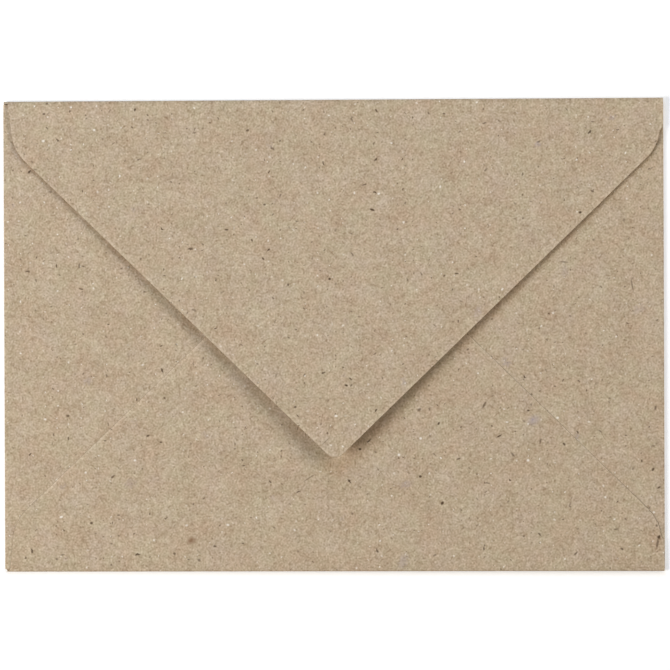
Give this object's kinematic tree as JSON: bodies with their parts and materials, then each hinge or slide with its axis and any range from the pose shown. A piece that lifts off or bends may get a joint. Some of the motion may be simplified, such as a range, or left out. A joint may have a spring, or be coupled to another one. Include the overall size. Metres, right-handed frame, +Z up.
{
  "type": "paper envelope",
  "caption": "Recycled kraft paper envelope for an A6 card, with a deep pointed closing flap that is folded over but not stuck down.",
  "frame": {"origin": "middle of the front (the side for the address), on the surface that the envelope lies on", "axes": "+X along the width, +Y towards the closing flap's crease, +Z up out of the back, through the flaps"},
  "size_m": [0.161, 0.115, 0.0044],
  "materials": {
    "recycled_kraft_paper": "matt uncoated recycled kraft, grey-brown, with fine fibres, dark flecks and white specks"
  },
  "bodies": {
    "root": {"envelope": "recycled_kraft_paper"}
  },
  "joints": []
}
